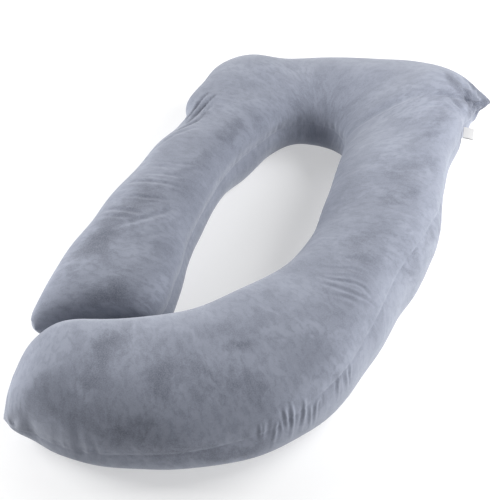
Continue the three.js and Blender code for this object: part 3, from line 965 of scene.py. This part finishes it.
class NodeTree:
    """A short way to add nodes to a material and join them."""

    def __init__(self, name: str) -> None:
        """Starts a material with its shader and its output.

        Args:
            name: the material's name.
        """
        self.material = bpy.data.materials.new(name)
        self.material.use_nodes = True
        self.nodes = self.material.node_tree.nodes
        self.links = self.material.node_tree.links
        self.shader = self.nodes["Principled BSDF"]
        self.place = self.nodes.new("ShaderNodeTexCoord").outputs["Object"]

    def join(self, source: Socket, target: Socket) -> None:
        """Links one socket to another."""
        self.links.new(source, target)

    def stretched(self, scale: Colour, source: Socket | None = None) -> Socket:
        """The place on the object, or on another map, scaled along each axis."""
        mapping = self.nodes.new("ShaderNodeMapping")
        mapping.inputs["Scale"].default_value = scale
        self.join(source or self.place, mapping.inputs["Vector"])
        return mapping.outputs["Vector"]

    def on_cloth(self, scale: Colour) -> Socket:
        """The place on the flat cloth, scaled along the pillow and around it."""
        cloth = self.nodes.new("ShaderNodeUVMap")
        cloth.uv_map = "cloth"
        return self.stretched(scale, cloth.outputs["UV"])

    def attribute(self, name: str) -> Socket:
        """A value kept with each point of the mesh."""
        node = self.nodes.new("ShaderNodeAttribute")
        node.attribute_name = name
        return node.outputs["Fac"]

    def noise(
        self,
        scale: float,
        detail: float = 3.0,
        rough: float = 0.5,
        warp: float = 0.0,
        at: Socket | None = None,
    ) -> Socket:
        """A noise pattern.

        Args:
            scale: how many cells there are in a metre.
            detail: how many finer layers it has.
            rough: how strong those are.
            warp: how far it is distorted.
            at: where it is read, or the object's own place.

        Returns:
            The noise, about 0 to 1.
        """
        node = self.nodes.new("ShaderNodeTexNoise")
        node.inputs["Scale"].default_value = scale
        node.inputs["Detail"].default_value = detail
        node.inputs["Roughness"].default_value = rough
        node.inputs["Distortion"].default_value = warp
        self.join(at or self.place, node.inputs["Vector"])
        return node.outputs["Fac"]

    def ramp(self, source: Socket, low: float, high: float) -> Socket:
        """Stretches a stretch of a pattern softly to 0 to 1."""
        node = self.nodes.new("ShaderNodeMapRange")
        node.interpolation_type = "SMOOTHSTEP"
        node.inputs["From Min"].default_value = low
        node.inputs["From Max"].default_value = high
        self.join(source, node.inputs["Value"])
        return node.outputs["Result"]

    def blend(self, share: Socket, first: Colour | Socket, second: Colour | Socket) -> Socket:
        """Mixes two colours.

        Args:
            share: how much of the second there is.
            first: a colour or a socket.
            second: a colour or a socket.

        Returns:
            The mixed colour.
        """
        node = self.nodes.new("ShaderNodeMix")
        node.data_type = "RGBA"
        self.join(share, node.inputs[0])
        for socket, value in ((node.inputs[6], first), (node.inputs[7], second)):
            if isinstance(value, tuple):
                socket.default_value = (*value, 1)
            else:
                self.join(value, socket)
        return node.outputs[2]

    def arithmetic(self, operation: str, *values: Socket | float) -> Socket:
        """Joins patterns and numbers by one arithmetic step."""
        node = self.nodes.new("ShaderNodeMath")
        node.operation = operation
        for socket, value in zip(node.inputs, values):
            if isinstance(value, Socket):
                self.join(value, socket)
            else:
                socket.default_value = value
        return node.outputs["Value"]

    def sum(self, first: Socket, second: Socket, share: float) -> Socket:
        """Adds a share of one pattern to another."""
        return self.arithmetic("MULTIPLY_ADD", second, share, first)

    def product(self, first: Socket, second: Socket | float) -> Socket:
        """Multiplies a pattern by a number or by another pattern."""
        return self.arithmetic("MULTIPLY", first, second)

    def bump(self, height: Socket, strength: float, rise: float, base: Socket | None = None) -> Socket:
        """Turns a pattern into relief.

        Args:
            height: the pattern.
            strength: how much of the relief shows.
            rise: its height in metres.
            base: relief that it lies on.

        Returns:
            The normal.
        """
        node = self.nodes.new("ShaderNodeBump")
        node.inputs["Strength"].default_value = strength
        node.inputs["Distance"].default_value = rise
        self.join(height, node.inputs["Height"])
        if base is not None:
            self.join(base, node.inputs["Normal"])
        return node.outputs["Normal"]


@dataclass(frozen=True)
class PlushFinish:
    """Short-pile velvet whose nap lies in lighter and darker patches, some of them painted shade and
    painted light.
    """

    light: Colour = (0.200, 0.217, 0.268)
    middle: Colour = (0.172, 0.187, 0.234)
    dark: Colour = (0.122, 0.134, 0.173)
    raised_nap_and_painted_light: Colour = (0.248, 0.268, 0.326)
    crushed_nap_and_painted_shade: Colour = (0.062, 0.070, 0.098)
    sheen: float = 0.35
    sheen_roughness: float = 0.6
    sheen_tint: Colour = (0.90, 0.93, 1.0)
    roughness: float = 0.88
    specular: float = 0.22
    shaded_share: float = 0.5
    lifted_share: float = 0.45
    brushed_up_and_painted_light_share: float = 0.7
    streak_share: float = 0.40
    grain_share: float = 0.38

    def material(self) -> bpy.types.Material:
        """Makes the velvet.

        Returns:
            The material.
        """
        tree = NodeTree("plush_velvet")
        shader = tree.shader
        shader.inputs["Roughness"].default_value = self.roughness
        shader.inputs["Specular IOR Level"].default_value = self.specular
        shader.inputs["Sheen Weight"].default_value = self.sheen
        shader.inputs["Sheen Roughness"].default_value = self.sheen_roughness
        shader.inputs["Sheen Tint"].default_value = (*self.sheen_tint, 1)
        clouds = tree.noise(5.0, 3.0, 0.55, 0.3)
        region = tree.noise(7.0, 2.0, 0.5, 0.2)
        brushed = tree.noise(20.0, 5.0, 0.64, 0.5, tree.on_cloth((1.0, 0.65, 1.0)))
        streaks = tree.noise(85.0, 4.0, 0.6, 0.4, tree.on_cloth((1.0, 0.5, 1.0)))
        grain = tree.noise(420.0, 2.0, 0.6)
        shaded = tree.product(tree.ramp(brushed, 0.48, 0.60), tree.ramp(region, 0.36, 0.60))
        lifted = tree.product(tree.ramp(brushed, 0.50, 0.40), tree.ramp(region, 0.62, 0.42))
        # the nap attribute adds its painted shade and painted light to the brushed and streaked noise
        nap_and_painted_shading = tree.sum(tree.sum(tree.product(brushed, 1.7), streaks, 1.1), tree.attribute("nap"), 1.3)
        layers = (
            (tree.product(shaded, self.shaded_share), self.dark),
            (tree.product(lifted, self.lifted_share), self.raised_nap_and_painted_light),
            # painted shade, with crushed nap: the darkest patches blend to the crushed colour
            (tree.ramp(nap_and_painted_shading, 1.50, 2.80), self.crushed_nap_and_painted_shade),
            # painted light, with nap brushed up: the lightest patches blend to the raised colour
            (tree.product(tree.ramp(nap_and_painted_shading, 1.25, 0.50), self.brushed_up_and_painted_light_share), self.raised_nap_and_painted_light),
            (tree.product(tree.ramp(streaks, 0.44, 0.62), self.streak_share), self.dark),
            (tree.product(tree.ramp(grain, 0.35, 0.70), self.grain_share), self.raised_nap_and_painted_light),
        )
        tone = tree.blend(tree.ramp(clouds, 0.34, 0.66), self.middle, self.light)
        for share, colour in layers:
            tone = tree.blend(share, tone, colour)
        tree.join(tone, shader.inputs["Base Color"])
        nap = tree.bump(tree.sum(clouds, brushed, 0.5), 0.30, 0.004)
        worn = tree.bump(streaks, 0.24, 0.0015, nap)
        pile = tree.bump(tree.noise(900.0, 2.0, 0.6), 0.30, 0.0006, worn)
        tree.join(pile, shader.inputs["Normal"])
        return tree.material


@dataclass(frozen=True)
class SatinFinish:
    """Plain white woven tape."""

    colour: Colour = (0.53, 0.525, 0.525)
    shade: Colour = (0.45, 0.448, 0.45)

    def material(self) -> bpy.types.Material:
        """Makes the tape.

        Returns:
            The material.
        """
        tree = NodeTree("label_satin")
        shader = tree.shader
        shader.inputs["Roughness"].default_value = 0.55
        shader.inputs["Sheen Weight"].default_value = 0.2
        threads = tree.noise(900.0, 2.0, 0.5, 0.0, tree.stretched((1.0, 4.0, 1.0)))
        weave = tree.blend(tree.ramp(threads, 0.35, 0.7), self.shade, self.colour)
        tree.join(weave, shader.inputs["Base Color"])
        tree.join(tree.bump(threads, 0.3, 0.0002), shader.inputs["Normal"])
        return tree.material


@dataclass
class Studio:
    """The pale floor, the soft lights and the camera."""

    elevation: float = 45.0
    azimuth: float = 20.0
    distance: float = 2.3
    focal_pixels: float = 931.8
    photo_width: float = 500.0
    sensor: float = 36.0
    floor_size: float = 14.0
    floor_drop: float = 0.0006
    floor_colour: Colour = (0.60, 0.60, 0.603)
    floor_glow: float = 0.42

    def camera(self, target: Vector) -> None:
        """Places the camera.

        Args:
            target: the point on the floor at the middle of the picture.
        """
        a, e = math.radians(self.azimuth), math.radians(self.elevation)
        back = Vector((math.sin(a) * math.cos(e), -math.cos(a) * math.cos(e), math.sin(e)))
        right = Vector((math.cos(a), math.sin(a), 0))
        up = back.cross(right)
        data = bpy.data.cameras.new("camera")
        data.sensor_width = self.sensor
        data.lens = self.focal_pixels / self.photo_width * self.sensor
        camera = bpy.data.objects.new("camera", data)
        turn = Matrix((right, up, back)).transposed()
        camera.matrix_world = Matrix.Translation(target + back * self.distance) @ turn.to_4x4()
        bpy.context.collection.objects.link(camera)
        bpy.context.scene.camera = camera

    def floor(self) -> None:
        """Lays the pale floor just under the pillow, a light table that softens the shadows on it."""
        bpy.ops.mesh.primitive_plane_add(size=self.floor_size, location=(0, 0, -self.floor_drop))
        plane = bpy.context.active_object
        plane.name = "floor"
        tree = NodeTree("pale_floor")
        tree.shader.inputs["Roughness"].default_value = 0.9
        tree.shader.inputs["Base Color"].default_value = (*self.floor_colour, 1)
        tree.shader.inputs["Emission Color"].default_value = (1, 1, 1, 1)
        tree.shader.inputs["Emission Strength"].default_value = self.floor_glow
        plane.data.materials.append(tree.material)

    def light(self, name: str, place: Vector, size: float, power: float) -> None:
        """Hangs one square soft light that faces the pillow.

        Args:
            name: the light's name.
            place: where it hangs, in metres.
            size: its side.
            power: its power in watts.
        """
        data = bpy.data.lights.new(name, "AREA")
        data.shape = "SQUARE"
        data.size = size
        data.energy = power
        lamp = bpy.data.objects.new(name, data)
        lamp.location = place
        lamp.rotation_euler = (-place).to_track_quat("-Z", "Y").to_euler()
        bpy.context.collection.objects.link(lamp)

    def surroundings(self, strength: float) -> None:
        """Sets an even pale sky.

        Args:
            strength: its brightness.
        """
        world = bpy.data.worlds.new("pale_room")
        world.use_nodes = True
        sky = world.node_tree.nodes["Background"]
        sky.inputs["Color"].default_value = (0.97, 0.98, 1.0, 1)
        sky.inputs["Strength"].default_value = strength
        bpy.context.scene.world = world
        bpy.context.scene.view_settings.view_transform = "Standard"


def main() -> None:
    """Builds the scene, piece by piece."""
    logging.basicConfig(level=logging.INFO, format="%(name)s: %(message)s")
    form = FilledForm()
    studio = Studio()
    studio.camera(Vector((-form.middle[0] * MM, -form.middle[1] * MM, 0)))
    studio.floor()
    studio.light("key", Vector((1.42, 0.82, 1.15)), 1.4, 52.0)
    studio.light("front", Vector((1.68, -0.78, 0.75)), 1.2, 13.0)
    studio.light("back", Vector((-1.70, 0.98, 1.38)), 1.6, 12.0)
    studio.light("left", Vector((-2.15, -0.58, 0.90)), 1.2, 66.0)
    studio.surroundings(0.16)
    pillow = PlushPillow(form)
    pillow.dress(pillow.build(), PlushFinish())
    label = CareLabel(form)
    label.dress(label.build(), SatinFinish())


if __name__ == "__main__":
    main()
